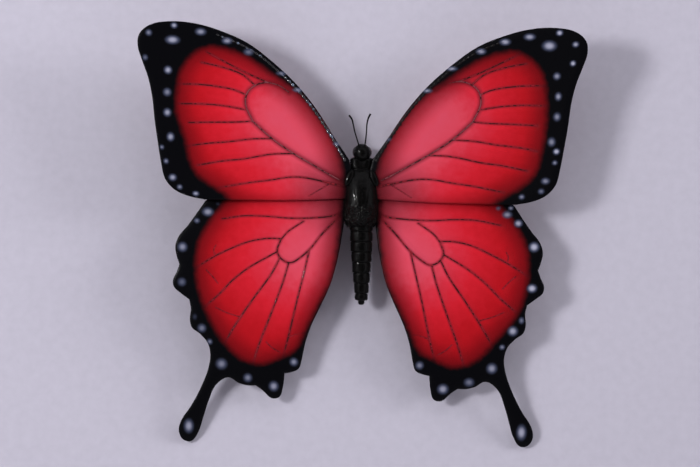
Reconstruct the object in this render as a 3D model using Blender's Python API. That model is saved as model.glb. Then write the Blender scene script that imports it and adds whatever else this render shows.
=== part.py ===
"""Swallowtail butterfly with its wings spread, standing on its six legs.

Metres, +Z up, head towards +Y. The outlines are drawn in millimetres on the insect's own axes:
x outwards from the body's middle, y towards the head, 0 where the fore and hind wings meet.
"""

import math

import bmesh
import bpy
import numpy as np
from mathutils import Matrix, Vector
from mathutils.geometry import delaunay_2d_cdt, interpolate_bezier

# Driving dimensions, in millimetres
WINGSPAN = 100.0
DRAWN_SPAN = 100.0  # the span at which the outlines below are drawn
GAP = 0.3  # clearance between pieces that touch
GROUND = 0.0

# Wings
WING_THICKNESS = 0.5
VEIN_WIDTH = 0.9
VEIN_HEIGHT = 0.22
VEIN_END_WIDTH = 0.45  # share of the full width and height left at a vein's outer end
GRID_STEP = 6.5  # spacing of the points that carry a wing's curve between its veins
FOREWING_ROOT_HEIGHT = 7.0
FOREWING_SPAN_RISE = 3.6  # how far the tip is lifted by the sweep outwards
FOREWING_CHORD_RISE = 3.2  # and by the sweep forwards
HINDWING_ROOT_HEIGHT = 5.9
HINDWING_SPAN_SLOPE = 0.02
HINDWING_FALL = 5.15  # the hind wings fall towards their tails, ever more steeply
HINDWING_FALL_LENGTH = 52.0
HINDWING_FALL_POWER = 2.8

# Body
BODY_SHIFT = 0.3  # the body sits this far to the insect's right of the wings' middle
BODY_HEIGHT = 5.6  # the thorax's axis above the ground
BODY_SIDES = 24
# the thorax from the neck backwards: distance along the body and radius
THORAX_PROFILE = (
    (9.5, 0.0),
    (9.35, 1.3),
    (8.9, 2.1),
    (8.0, 2.6),
    (7.2, 2.65),
    (6.8, 2.35),
    (6.3, 2.8),
    (5.0, 3.35),
    (3.0, 3.75),
    (0.3, 3.95),
    (-3.0, 3.9),
    (-4.9, 3.6),
    (-5.9, 2.9),
    (-6.35, 1.8),
    (-6.5, 0.0),
)
UNDERSIDE_HEIGHT = 1.85  # the flat along the middle of the thorax's underside
HEAD_CENTRE = (BODY_SHIFT, 10.5, 5.8)
HEAD_RADII = (1.95, 2.05, 2.0)
HEAD_DETAIL = (20, 14)  # segments round, and from pole to pole
HEAD_CLEARANCE_DETAIL = (16, 10)
EYE_OUT = 1.2  # each eye's middle from the head's
EYE_CENTRE = (10.7, 5.6)
EYE_RADII = (0.95, 1.25, 1.35)
EYE_DETAIL = (14, 10)
EYE_CLEARANCE_DETAIL = (12, 8)
ABDOMEN_START = -4.6
ABDOMEN_END = -23.1
ABDOMEN_HEIGHT = 5.4
ABDOMEN_RADIUS = 2.55
ABDOMEN_DROOP = 1.5  # the tip sits this much lower than the waist
ABDOMEN_BEND = 0.4  # and this far further to the insect's right
ABDOMEN_TAPER = 0.62  # share of the half-width lost towards the tip
ABDOMEN_TAPER_START = 0.12  # share of the length after which it is lost
ABDOMEN_TIP_SHARE = 0.6  # the blunt tip's half-width as a share of the last segment's
ABDOMEN_TIP_LENGTH = 0.25
ABDOMEN_SEGMENTS = 8
SEGMENT_GROOVE = 0.17
SEGMENT_BULGE = 0.04

# The fore wing's outline, one smooth arc for each margin
FOREWING_ARCS = (
    # leading edge
    (
        (2.6, 9.0),
        (6.0, 13.9),
        (10.0, 20.0),
        (14.5, 25.4),
        (20.0, 30.4),
        (25.5, 34.4),
        (31.0, 36.8),
        (37.0, 38.5),
        (43.0, 38.9),
        (47.4, 38.0),
        (49.6, 36.0),
        (49.9, 33.4),
        (48.9, 30.2),
        (47.5, 26.4),
        (46.5, 22.0),
        (45.9, 17.0),
        (45.1, 12.0),
        (44.3, 7.4),
        (43.4, 4.0),
        (41.4, 1.7),
        (38.4, 0.3),
        (34.5, -0.5),
    ),
    # trailing edge
    ((34.5, -0.5), (24.0, -0.45), (14.0, -0.3), (2.6, 0.3)),
    # root
    ((2.6, 0.3), (1.8, 4.6), (2.6, 9.0)),
)

# The hind wing's outline: the scalloped margin has a corner at each notch
HINDWING_ARCS = (
    # leading edge, under the fore wing
    ((2.6, 1.6), (8.0, 2.8), (17.0, 3.4), (26.0, 2.9), (32.0, 1.2), (34.5, -0.9)),
    # shoulder
    ((34.5, -0.9), (36.3, -3.6), (38.2, -6.3), (40.2, -8.8), (40.9, -11.0), (40.5, -13.3), (39.9, -15.0)),
    # second scallop
    ((39.9, -15.0), (40.5, -16.7), (41.3, -18.6), (41.0, -20.1), (39.5, -21.4), (37.6, -22.8)),
    # third scallop
    ((37.6, -22.8), (37.2, -24.8), (37.4, -27.2), (36.9, -29.0), (35.2, -30.3)),
    # tail
    (
        (35.2, -30.3),
        (33.4, -32.3),
        (32.7, -35.0),
        (33.2, -38.3),
        (34.8, -42.5),
        (37.0, -46.7),
        (39.0, -49.8),
        (39.5, -52.2),
        (38.5, -54.1),
        (36.7, -54.4),
        (35.2, -52.5),
        (34.1, -49.1),
        (32.9, -45.2),
        (31.4, -41.8),
        (28.7, -40.0),
        (26.4, -41.2),
    ),
    # fourth scallop
    ((26.4, -41.2), (24.5, -41.7), (22.5, -41.7)),
    # fifth scallop
    ((22.5, -41.7), (20.9, -42.8), (18.9, -44.5), (17.2, -44.2), (16.4, -41.8), (16.1, -38.9)),
    # anal lobe
    ((16.1, -38.9), (14.6, -38.6), (13.0, -37.8), (12.3, -35.6)),
    # inner margin
    (
        (12.3, -35.6),
        (11.6, -32.0),
        (10.3, -28.0),
        (8.0, -23.0),
        (6.2, -18.8),
        (4.9, -14.0),
        (4.0, -9.0),
        (3.4, -4.5),
        (2.6, 1.6),
    ),
)

# Veins, each from its root or its parent vein outwards
FOREWING_VEINS = (
    # along the leading edge
    ((3.4, 8.2), (7.0, 14.2), (13.0, 22.8), (20.0, 29.4), (28.0, 34.7), (36.0, 37.6)),
    # the cell's upper and outer border
    (
        (3.6, 7.0),
        (8.0, 13.6),
        (14.0, 21.4),
        (19.5, 26.2),
        (23.4, 26.4),
        (26.0, 24.4),
        (26.5, 21.6),
        (24.8, 17.8),
    ),
    # the cell's lower border
    ((3.6, 4.6), (8.0, 7.0), (14.0, 9.9), (19.5, 13.2), (24.8, 17.8)),
    ((21.5, 26.6), (26.0, 28.0), (30.0, 30.9), (35.5, 33.8)),
    ((26.0, 28.0), (30.5, 29.4), (38.0, 30.6), (47.4, 31.0)),
    ((26.1, 23.8), (31.0, 25.0), (38.0, 25.8), (46.4, 25.8)),
    ((26.4, 20.5), (31.0, 21.0), (38.0, 21.3), (45.6, 21.3)),
    ((24.8, 17.8), (28.5, 17.3), (37.0, 17.1), (45.0, 16.9)),
    ((20.2, 13.7), (26.0, 13.2), (34.0, 12.1), (44.2, 10.7)),
    ((15.0, 10.4), (21.0, 9.6), (30.0, 7.9), (43.2, 5.8)),
    ((3.6, 2.6), (8.0, 4.1), (15.0, 4.6), (25.0, 3.3), (38.5, 1.4)),
)
HINDWING_VEINS = (
    ((3.8, -3.0), (9.0, -4.0), (17.0, -4.3), (25.0, -4.1), (32.0, -5.1), (38.3, -8.0)),
    # the cell, out along its lower border and back along its upper one
    ((4.4, -4.4), (9.0, -9.2), (13.6, -13.2), (16.4, -13.9), (18.2, -11.8), (17.2, -8.3), (11.5, -4.2)),
    ((17.2, -8.3), (21.0, -8.9), (28.0, -11.1), (34.0, -14.0), (38.9, -17.0)),
    ((18.2, -11.8), (23.0, -14.6), (30.0, -19.6), (36.3, -25.9)),
    # into the tail
    ((17.6, -13.2), (22.0, -19.6), (28.0, -28.6), (31.6, -35.4), (33.8, -42.5), (37.2, -51.8)),
    ((15.0, -13.8), (18.6, -22.2), (22.6, -32.4), (24.6, -40.4)),
    ((11.2, -11.4), (12.2, -16.6), (15.0, -26.4), (18.4, -42.2)),
)

# Each leg from its hip: the joints' places on the right side, then the foot's tip
LEGS = {
    "fore": ((2.1, 4.4, 2.9), (4.9, 6.4, 3.9), (6.6, 8.2, 0.75), (8.4, 10.0, 0.2)),
    "mid": ((2.3, 0.9, 2.5), (6.4, 1.4, 4.3), (9.2, 0.6, 0.75), (12.0, -0.4, 0.2)),
    "hind": ((2.1, -2.6, 2.9), (5.8, -5.4, 4.2), (7.6, -10.2, 0.75), (8.6, -13.4, 0.2)),
}
HIP_RADIUS = 0.6
THIGH_RADIUS = 0.45
SHIN_RADIUS = 0.34
FOOT_RADIUS = 0.3
HEEL_DROP = 0.35  # how far the heel lies below the ankle's line
HIP_DEPTH = 0.3  # how far a leg runs on inside the thorax, as a share of the way to its axis
LIMB_SIDES = 6

# The antennae lean apart unevenly
ANTENNAE = {
    "left": (
        (-0.35, 11.8, 6.9),
        (-0.95, 13.7, 7.9),
        (-1.4, 15.1, 8.4),
        (-1.8, 16.8, 8.8),
        (-2.15, 18.0, 9.0),
        (-2.75, 18.8, 9.1),
    ),
    "right": (
        (0.85, 12.0, 6.9),
        (1.1, 14.0, 7.9),
        (1.2, 15.6, 8.4),
        (1.25, 16.9, 8.8),
        (1.5, 18.1, 9.0),
        (2.0, 19.2, 9.1),
    ),
}
ANTENNA_RADII = (0.19, 0.17, 0.16, 0.17, 0.22, 0.26)
ANTENNA_STEPS = 3  # points in each interval

PROBOSCIS_CENTRE = (BODY_SHIFT, 11.1, 2.75)
PROBOSCIS_TURNS = 2.25
PROBOSCIS_OUTER = 1.05
PROBOSCIS_INNER = 0.3
PROBOSCIS_RADIUS = 0.17
PROBOSCIS_STEPS = 10  # points in a turn


def clear_scene():
    for thing in list(bpy.data.objects):
        bpy.data.objects.remove(thing)


def material(name, colour, roughness):
    """A dielectric finish: colour is linear red, green and blue."""
    made = bpy.data.materials.new(name)
    made.use_nodes = True
    shader = made.node_tree.nodes["Principled BSDF"]
    shader.inputs["Base Color"].default_value = (*colour, 1.0)
    shader.inputs["Roughness"].default_value = roughness
    shader.inputs["Metallic"].default_value = 0.0
    return made


def add_object(name, mesh, finish):
    """Links a mesh drawn in millimetres at its real size in metres."""
    mesh.transform(Matrix.Scale(0.001 * WINGSPAN / DRAWN_SPAN, 4))
    mesh.materials.clear()
    mesh.materials.append(finish)
    thing = bpy.data.objects.new(name, mesh)
    bpy.context.scene.collection.objects.link(thing)
    return thing


def mesh_of(bm, name, smooth=True):
    bmesh.ops.recalc_face_normals(bm, faces=bm.faces)
    mesh = bpy.data.meshes.new(name)
    bm.to_mesh(mesh)
    bm.free()
    if smooth:
        mesh.shade_smooth()
        mesh.set_sharp_from_angle(angle=math.radians(50))
    return mesh


def cut_away(thing, cutter):
    """Cuts a neighbour's shape out of a piece."""
    cut = thing.modifiers.new("fit", "BOOLEAN")
    cut.operation = "DIFFERENCE"
    cut.solver = "EXACT"
    cut.object = cutter


def smooth_arc(points, steps):
    """Points on one smooth curve through the given ones, with this many steps in each interval."""
    points = [Vector(p) for p in points]
    ways = [(b - a).normalized() for a, b in zip(points, points[1:])]
    headings = [ways[0], *[(a + b).normalized() for a, b in zip(ways, ways[1:])], ways[-1]]
    line = [points[0]]
    for i, (a, b) in enumerate(zip(points, points[1:])):
        reach = (b - a).length / 3
        curve = interpolate_bezier(a, a + headings[i] * reach, b - headings[i + 1] * reach, b, steps + 1)
        line += curve[1:]
    return line


def distance_to_line(points, line):
    """Each point's distance to a line of straight runs, and where along it, from 0 to 1, it is nearest."""
    best = np.full(len(points), np.inf)
    along = np.zeros(len(points))
    lengths = [(b - a).length for a, b in zip(line, line[1:])]
    run = 0.0
    for a, b, length in zip(line, line[1:], lengths):
        start, way = np.array(a[:2]), np.array((b - a)[:2])
        t = np.clip((points - start) @ way / length**2, 0, 1)
        gap = np.linalg.norm(points - start - t[:, None] * way, axis=1)
        nearer = gap < best
        best[nearer] = gap[nearer]
        along[nearer] = (run + t[nearer] * length) / sum(lengths)
        run += length
    return best, along


def vein_share(along):
    """A vein tapers to its outer end: its width and height there as a share of the full ones."""
    return 1 - (1 - VEIN_END_WIDTH) * along


def ridge_height(points, veins):
    """How far the veins stand out of the wing's skin at each point."""
    height = np.zeros(len(points))
    for line in veins:
        gap, along = distance_to_line(points, line)
        share = vein_share(along)
        height = np.maximum(height, VEIN_HEIGHT * share * np.clip(1 - gap / (share * VEIN_WIDTH / 2), 0, 1))
    return height


def vein_edges(line):
    """The two lines where a vein meets the skin."""
    count = len(line) - 1
    sides = ([], [])
    for i, point in enumerate(line):
        way = (line[min(i + 1, count)] - line[max(i - 1, 0)]).normalized()
        out = Vector((-way.y, way.x)) * vein_share(i / count) * VEIN_WIDTH / 2
        sides[0].append(point + out)
        sides[1].append(point - out)
    return sides


def grid_points(rim, lines):
    """Points spread over the wing, away from its rim and its veins."""
    low = np.min([p[:] for p in rim], axis=0)
    high = np.max([p[:] for p in rim], axis=0)
    rows = np.arange(low[1], high[1], GRID_STEP * math.sqrt(0.75))
    columns = np.arange(low[0], high[0], GRID_STEP)
    grid = np.array([(x + (i % 2) * GRID_STEP / 2, y) for i, y in enumerate(rows) for x in columns])
    clear = np.ones(len(grid), bool)
    for line in [[*rim, rim[0]], *lines]:
        clear &= distance_to_line(grid, line)[0] > GRID_STEP / 3
    return [Vector(p) for p, keep in zip(grid, clear) if keep]


def wing(name, arcs, veins, height_at, side, finish):
    """A thin sheet with its veins standing out of both faces. side is 1 on the right and -1 on the left."""
    rim = [p for arc in arcs for p in smooth_arc(arc, 2)[:-1]]
    veins = [smooth_arc(vein, 2) for vein in veins]
    points, edges = list(rim), []
    for line in veins:
        for run in (line, *vein_edges(line)):
            edges += [(len(points) + i, len(points) + i + 1) for i in range(len(run) - 1)]
            points += run
    points += grid_points(rim, veins)
    inside_only = 1
    flat, _, faces, *_ = delaunay_2d_cdt(points, edges, [list(range(len(rim)))], inside_only, 1e-3)

    bm = bmesh.new()
    corners = [bm.verts.new((p.x, p.y, 0)) for p in flat]
    for face in faces:
        bm.faces.new([corners[i] for i in face])
    lifted = bmesh.ops.extrude_face_region(bm, geom=bm.faces[:])["geom"]
    upper = {v for v in lifted if isinstance(v, bmesh.types.BMVert)}
    bm.verts.ensure_lookup_table()
    places = np.array([v.co[:2] for v in bm.verts])
    ridge = ridge_height(places, veins)
    middle = height_at(places[:, 0], places[:, 1])
    for vert, rise, level in zip(bm.verts, ridge, middle):
        half = WING_THICKNESS / 2 + rise
        vert.co.z = level + (half if vert in upper else -half)
        vert.co.x *= side
    return add_object(name, mesh_of(bm, name, smooth=False), finish)


def forewing_height(x, y):
    """The fore wing's middle surface: it sweeps up outwards and forwards."""
    outwards = FOREWING_SPAN_RISE * (x / 50) ** 1.5
    forwards = FOREWING_CHORD_RISE * (np.clip(y, 0, None) / 38) ** 1.5
    return FOREWING_ROOT_HEIGHT + outwards + forwards


def hindwing_height(x, y):
    """The hind wing's middle surface: nearly level outwards, and falling to the tail."""
    fall = HINDWING_FALL * (np.clip(-y, 0, None) / HINDWING_FALL_LENGTH) ** HINDWING_FALL_POWER
    return HINDWING_ROOT_HEIGHT + HINDWING_SPAN_SLOPE * x - fall


def ellipsoid(centre, radii, detail):
    """A ball scaled to its three radii."""
    bm = bmesh.new()
    bmesh.ops.create_uvsphere(bm, u_segments=detail[0], v_segments=detail[1], radius=1.0)
    # the poles face fore and aft
    bmesh.ops.rotate(bm, verts=bm.verts, matrix=Matrix.Rotation(math.pi / 2, 3, "X"))
    bmesh.ops.scale(bm, verts=bm.verts, vec=radii)
    bmesh.ops.translate(bm, verts=bm.verts, vec=centre)
    return bm


def grown(radii, margin):
    return [r + margin for r in radii]


def turned(profile, margin=0.0):
    """A closed body turned about the fore-and-aft axis from (distance along it, radius) pairs."""
    bm = bmesh.new()
    middle = (profile[0][0] + profile[-1][0]) / 2
    verts = []
    for along, radius in profile:
        end = math.copysign(margin, along - middle)
        verts.append(bm.verts.new((radius + (margin if radius else 0), along + end, 0)))
    edges = [bm.edges.new(pair) for pair in zip(verts, verts[1:])]
    geometry = verts + edges
    bmesh.ops.spin(
        bm, geom=geometry, axis=(0, 1, 0), cent=(0, 0, 0), angle=math.tau, steps=BODY_SIDES, use_merge=True
    )
    bmesh.ops.remove_doubles(bm, verts=bm.verts, dist=1e-4)
    return bm


def cut_flat(bm, height):
    """Cuts off what lies below a height and closes the cut."""
    everything = bm.verts[:] + bm.edges[:] + bm.faces[:]
    below = (0, 0, -1)
    plane = {"plane_co": (0, 0, height), "plane_no": below}
    cut = bmesh.ops.bisect_plane(bm, geom=everything, clear_outer=True, **plane)
    rim = [e for e in cut["geom_cut"] if isinstance(e, bmesh.types.BMEdge)]
    bmesh.ops.contextual_create(bm, geom=rim)


def thorax(finish):
    """The collar and the thorax in one piece, cut flat along the middle of the underside."""
    bm = turned(THORAX_PROFILE)
    bmesh.ops.translate(bm, verts=bm.verts, vec=(BODY_SHIFT, 0, BODY_HEIGHT))
    cut_flat(bm, UNDERSIDE_HEIGHT)
    return add_object("thorax", mesh_of(bm, "thorax"), finish)


def cutter(name, bm, finish):
    """A hidden copy of a piece, larger by the gap, which cuts its neighbours back."""
    thing = add_object(name, mesh_of(bm, name), finish)
    thing.hide_render = True
    thing.display_type = "WIRE"
    return thing


def abdomen_radius(share):
    """The abdomen's half-width is even at first and tapers to a blunt tip."""
    return ABDOMEN_RADIUS * (1 - ABDOMEN_TAPER * max(share - ABDOMEN_TAPER_START, 0) ** 1.5)


def abdomen(finish):
    """One bulging segment after another, drooping and bent towards the tip."""
    length = ABDOMEN_START - ABDOMEN_END
    profile = [(ABDOMEN_START, 0.0)]
    for segment in range(ABDOMEN_SEGMENTS):
        for step, proud in ((0.0, -SEGMENT_GROOVE), (0.2, 0.0), (0.75, SEGMENT_BULGE)):
            share = (segment + step) / ABDOMEN_SEGMENTS
            profile.append((ABDOMEN_START - share * length, abdomen_radius(share) + proud))
    profile.append((ABDOMEN_END, abdomen_radius(1.0) * ABDOMEN_TIP_SHARE))
    profile.append((ABDOMEN_END - ABDOMEN_TIP_LENGTH, 0.0))
    bm = turned(profile)
    for vert in bm.verts:
        share = max(ABDOMEN_START - vert.co.y, 0) / length
        vert.co.z += ABDOMEN_HEIGHT - ABDOMEN_DROOP * share**1.5
        vert.co.x += BODY_SHIFT + ABDOMEN_BEND * share**0.6
    return add_object("abdomen", mesh_of(bm, "abdomen"), finish)


def tube(name, points, radii):
    """A mesh tube with closed ends through the points, from a bevelled curve."""
    curve = bpy.data.curves.new(name, "CURVE")
    curve.dimensions = "3D"
    curve.bevel_depth = 1.0
    curve.bevel_resolution = (LIMB_SIDES - 4) // 2
    curve.use_fill_caps = True
    spline = curve.splines.new("POLY")
    spline.points.add(len(points) - 1)
    for target, point, radius in zip(spline.points, points, radii):
        target.co = (*point, 1.0)
        target.radius = radius
    guide = bpy.data.objects.new(name, curve)
    bm = bmesh.new()
    bm.from_mesh(guide.to_mesh())
    bmesh.ops.remove_doubles(bm, verts=bm.verts, dist=1e-4)
    bpy.data.objects.remove(guide)
    return bm


def leg(name, joints, side, finish):
    """Hip, thigh, shin and foot. The foot lies along the ground, and its sole is flat."""
    hip, knee, ankle, toe = [Vector((BODY_SHIFT + side * x, y, z)) for x, y, z in joints]
    inside = hip.lerp(Vector((BODY_SHIFT, hip.y, BODY_HEIGHT)), HIP_DEPTH)
    # places along the leg, as shares of the way from joint to joint, and the radius at each
    stations = (
        (inside, HIP_RADIUS),
        (hip, HIP_RADIUS),
        (hip.lerp(knee, 0.25), THIGH_RADIUS),
        (hip.lerp(knee, 0.6), THIGH_RADIUS),
        (hip.lerp(knee, 0.93), SHIN_RADIUS),
        (knee.lerp(ankle, 0.1), SHIN_RADIUS),
        (knee.lerp(ankle, 0.85), SHIN_RADIUS * 0.85),
        (ankle.lerp(toe, 0.12) - Vector((0, 0, HEEL_DROP)), FOOT_RADIUS),
        (toe, FOOT_RADIUS * 0.8),
    )
    bm = tube(name, [p for p, _ in stations], [r for _, r in stations])
    cut_flat(bm, GROUND)
    return add_object(name, mesh_of(bm, name), finish)


def antenna(name, points, finish):
    """A thin feeler that thickens to a club at its tip."""
    line = smooth_arc(points, ANTENNA_STEPS)
    shares = np.linspace(0, len(ANTENNA_RADII) - 1, len(line))
    radii = np.interp(shares, range(len(ANTENNA_RADII)), ANTENNA_RADII)
    return add_object(name, mesh_of(tube(name, line, radii), name), finish)


def proboscis(finish):
    """The drinking tube, wound up like a watch spring under the head."""
    count = round(PROBOSCIS_TURNS * PROBOSCIS_STEPS)
    points = []
    for i in range(count + 1):
        angle = math.pi / 2 - math.tau * i / PROBOSCIS_STEPS
        radius = PROBOSCIS_OUTER + (PROBOSCIS_INNER - PROBOSCIS_OUTER) * i / count
        x, y, z = PROBOSCIS_CENTRE
        points.append((x, y + radius * math.cos(angle), z + radius * math.sin(angle)))
    bm = tube("proboscis", points, [PROBOSCIS_RADIUS] * len(points))
    return add_object("proboscis", mesh_of(bm, "proboscis"), finish)


def centre_on_origin(things):
    """Moves the pieces so that the origin is under the middle of the whole, on the ground."""
    bpy.context.view_layer.update()
    graph = bpy.context.evaluated_depsgraph_get()
    shown = [t.evaluated_get(graph) for t in things if not t.hide_render]
    corners = np.array([corner[:] for t in shown for corner in t.bound_box])
    low, high = corners.min(axis=0), corners.max(axis=0)
    shift = Matrix.Translation((-(low[0] + high[0]) / 2, -(low[1] + high[1]) / 2, -low[2]))
    for thing in things:
        thing.data.transform(shift)


def main():
    clear_scene()
    wing_finish = material("red wing", (0.55, 0.012, 0.02), 0.4)
    body_finish = material("black body", (0.006, 0.006, 0.007), 0.3)
    eye_finish = material("black eye", (0.012, 0.009, 0.008), 0.15)

    clearance = turned(THORAX_PROFILE, GAP)
    bmesh.ops.translate(clearance, verts=clearance.verts, vec=(BODY_SHIFT, 0, BODY_HEIGHT))
    fit_thorax = cutter("thorax_clearance", clearance, body_finish)
    clearance_ball = ellipsoid(HEAD_CENTRE, grown(HEAD_RADII, GAP), HEAD_CLEARANCE_DETAIL)
    fit_head = cutter("head_clearance", clearance_ball, body_finish)
    head = add_object("head", mesh_of(ellipsoid(HEAD_CENTRE, HEAD_RADII, HEAD_DETAIL), "head"), body_finish)
    waist = abdomen(body_finish)
    mouth = proboscis(body_finish)
    things = [thorax(body_finish), fit_thorax, fit_head, head, waist, mouth]
    cut_away(head, fit_thorax)
    cut_away(waist, fit_thorax)
    cut_away(mouth, fit_head)

    for side, word in ((1, "right"), (-1, "left")):
        eye_centre = (BODY_SHIFT + side * EYE_OUT, *EYE_CENTRE)
        eye_ball = ellipsoid(eye_centre, EYE_RADII, EYE_DETAIL)
        eye = add_object(f"eye_{word}", mesh_of(eye_ball, "eye"), eye_finish)
        clearance_ball = ellipsoid(eye_centre, grown(EYE_RADII, GAP), EYE_CLEARANCE_DETAIL)
        fit_eye = cutter(f"eye_clearance_{word}", clearance_ball, eye_finish)
        cut_away(head, fit_eye)
        feeler = antenna(f"antenna_{word}", ANTENNAE[word], body_finish)
        cut_away(feeler, fit_head)
        fore = wing(f"forewing_{word}", FOREWING_ARCS, FOREWING_VEINS, forewing_height, side, wing_finish)
        hind = wing(f"hindwing_{word}", HINDWING_ARCS, HINDWING_VEINS, hindwing_height, side, wing_finish)
        cut_away(fore, fit_thorax)
        cut_away(hind, fit_thorax)
        things += [eye, fit_eye, feeler, fore, hind]
        for place, joints in LEGS.items():
            limb = leg(f"{place}_leg_{word}", joints, side, body_finish)
            cut_away(limb, fit_thorax)
            things.append(limb)

    centre_on_origin(things)


main()
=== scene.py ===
import math
import random

import bmesh
import bpy
import numpy as np
from mathutils import Matrix, Vector, noise
from mathutils.geometry import interpolate_bezier


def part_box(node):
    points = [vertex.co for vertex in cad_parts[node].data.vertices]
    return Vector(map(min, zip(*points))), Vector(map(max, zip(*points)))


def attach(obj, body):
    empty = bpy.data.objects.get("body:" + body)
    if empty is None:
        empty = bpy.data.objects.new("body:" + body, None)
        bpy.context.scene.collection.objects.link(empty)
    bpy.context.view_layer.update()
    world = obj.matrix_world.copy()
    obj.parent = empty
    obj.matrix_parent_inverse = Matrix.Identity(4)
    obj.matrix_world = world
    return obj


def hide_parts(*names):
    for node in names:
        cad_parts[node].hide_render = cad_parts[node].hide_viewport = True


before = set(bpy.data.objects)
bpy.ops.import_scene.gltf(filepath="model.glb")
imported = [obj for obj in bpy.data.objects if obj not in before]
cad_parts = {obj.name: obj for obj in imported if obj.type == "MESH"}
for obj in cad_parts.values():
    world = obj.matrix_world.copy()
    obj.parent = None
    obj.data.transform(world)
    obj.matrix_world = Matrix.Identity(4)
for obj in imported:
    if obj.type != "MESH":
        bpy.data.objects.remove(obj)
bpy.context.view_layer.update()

# Wings. Each is one thin, stiff, slightly domed sheet with rounded edges, and its veins stand out of both
# faces as fine round cords. It is lacquered by hand: a satin red field sprayed over black, and pale spots.

# Every place is in millimetres on the butterfly's own axes: x out to its right from the middle, y towards
# the head from where fore and hind wings meet, z up from the feet.
MM = 0.001
THORAX_REAR = 6.5 * MM  # the thorax's rear end is this far behind the wings' meeting line
MEETING_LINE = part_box("thorax")[0].y + THORAX_REAR


def smooth_arc(points, steps):
    """Points on one smooth curve through the given ones, with this many steps in each interval."""
    points = [Vector(p) for p in points]
    ways = [(b - a).normalized() for a, b in zip(points, points[1:])]
    headings = [ways[0], *[(a + b).normalized() for a, b in zip(ways, ways[1:])], ways[-1]]
    line = [points[0]]
    for i, (a, b) in enumerate(zip(points, points[1:])):
        reach = (b - a).length / 3
        curve = interpolate_bezier(a, a + headings[i] * reach, b - headings[i + 1] * reach, b, steps + 1)
        line += curve[1:]
    return line


FOREWING_RIM = (
    # leading edge, tip and outer margin
    (
        (2.6, 9.0), (6.0, 13.9), (10.0, 20.0), (14.5, 25.4), (20.0, 30.4), (25.5, 34.4), (31.0, 36.8),
        (37.0, 38.5), (43.0, 38.9), (47.4, 38.0), (49.6, 36.0), (49.9, 33.4), (48.9, 30.2), (47.5, 26.4),
        (46.5, 22.0), (45.9, 17.0), (45.1, 12.0), (44.3, 7.4), (43.4, 4.0), (41.4, 1.7), (38.4, 0.3),
        (34.5, -0.5),
    ),
    # trailing edge, which lies over the hind wing
    ((34.5, -0.5), (24.0, -0.45), (14.0, -0.3), (2.6, 0.3)),
    # root
    ((2.6, 0.3), (1.8, 4.6), (2.6, 9.0)),
)
HINDWING_RIM = (
    # leading edge, under the fore wing
    ((2.6, 1.6), (8.0, 2.8), (17.0, 3.4), (26.0, 2.9), (32.0, 1.2), (34.5, -0.9)),
    # the outer margin's scallops, with a corner at each notch
    ((34.5, -0.9), (36.3, -3.6), (38.2, -6.3), (40.2, -8.8), (40.9, -11.0), (40.5, -13.3), (39.9, -15.0)),
    ((39.9, -15.0), (40.5, -16.7), (41.3, -18.6), (41.0, -20.1), (39.5, -21.4), (37.6, -22.8)),
    ((37.6, -22.8), (37.2, -24.8), (37.4, -27.2), (36.9, -29.0), (35.2, -30.3)),
    # tail
    (
        (35.2, -30.3), (33.4, -32.3), (32.7, -35.0), (33.2, -38.3), (34.8, -42.5), (37.0, -46.7),
        (39.0, -49.8), (39.5, -52.2), (38.5, -54.1), (36.7, -54.4), (35.2, -52.5), (34.1, -49.1),
        (32.9, -45.2), (31.4, -41.8), (28.7, -40.0), (26.4, -41.2),
    ),
    ((26.4, -41.2), (24.5, -41.7), (22.5, -41.7)),
    ((22.5, -41.7), (20.9, -42.8), (18.9, -44.5), (17.2, -44.2), (16.4, -41.8), (16.1, -38.9)),
    ((16.1, -38.9), (14.6, -38.6), (13.0, -37.8), (12.3, -35.6)),
    # inner margin
    (
        (12.3, -35.6), (11.6, -32.0), (10.3, -28.0), (8.0, -23.0), (6.2, -18.8), (4.9, -14.0),
        (4.0, -9.0), (3.4, -4.5), (2.6, 1.6),
    ),
)

# Each kind of vein: its half-width at the root and at the end, and the half-width of the greyed band
# beside it, which is partly tint and partly painted shade and sheen along the vein. The costa is the stout
# one along the leading edge.
MAIN = (0.14, 0.12, 1.1)
BRANCH = (0.12, 0.09, 0.6)
CREASE = (0.06, 0.04, 0.3)
COSTA = (0.32, 0.2, 0.2)
HIND_CELL = (0.12, 0.13, 0.7)
FOREWING_VEINS = (
    # along the leading edge
    (COSTA, ((3.4, 8.6), (7.0, 14.6), (12.0, 21.6), (18.0, 27.7), (25.0, 33.0), (33.0, 36.4))),
    # the cell's outer border, which starts beside the leading edge
    (MAIN, ((16.4, 24.6), (18.9, 26.1), (22.6, 26.6), (25.7, 24.9), (26.5, 22.2), (24.8, 17.8))),
    # the cell's lower border
    (MAIN, ((2.8, 3.5), (7.0, 5.6), (10.0, 7.3), (15.0, 10.2), (20.4, 13.8), (24.8, 17.8))),
    (BRANCH, ((21.5, 26.7), (25.6, 28.4), (29.8, 30.4), (35.4, 33.3))),
    (BRANCH, ((24.6, 26.2), (27.0, 28.2), (30.9, 29.7), (36.4, 30.9))),
    (BRANCH, ((26.2, 23.8), (28.9, 24.9), (33.5, 25.7), (37.1, 26.0), (41.4, 26.0))),
    (BRANCH, ((26.5, 20.5), (30.5, 21.2), (35.2, 21.6), (41.2, 21.6))),
    (BRANCH, ((24.8, 17.8), (28.5, 17.5), (33.0, 17.4), (39.0, 17.2))),
    (BRANCH, ((20.2, 13.7), (25.0, 13.5), (29.8, 12.8), (36.0, 12.1), (39.2, 11.5))),
    (BRANCH, ((15.0, 10.2), (20.0, 10.0), (27.0, 8.7), (31.2, 8.2), (37.0, 7.1))),
    (BRANCH, ((2.8, 2.7), (7.5, 3.8), (12.7, 4.8), (16.0, 4.8), (20.5, 4.1), (25.0, 3.5), (32.0, 2.2))),
    (CREASE, ((6.8, 3.5), (8.8, 2.3), (11.4, 0.7))),
)
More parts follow.
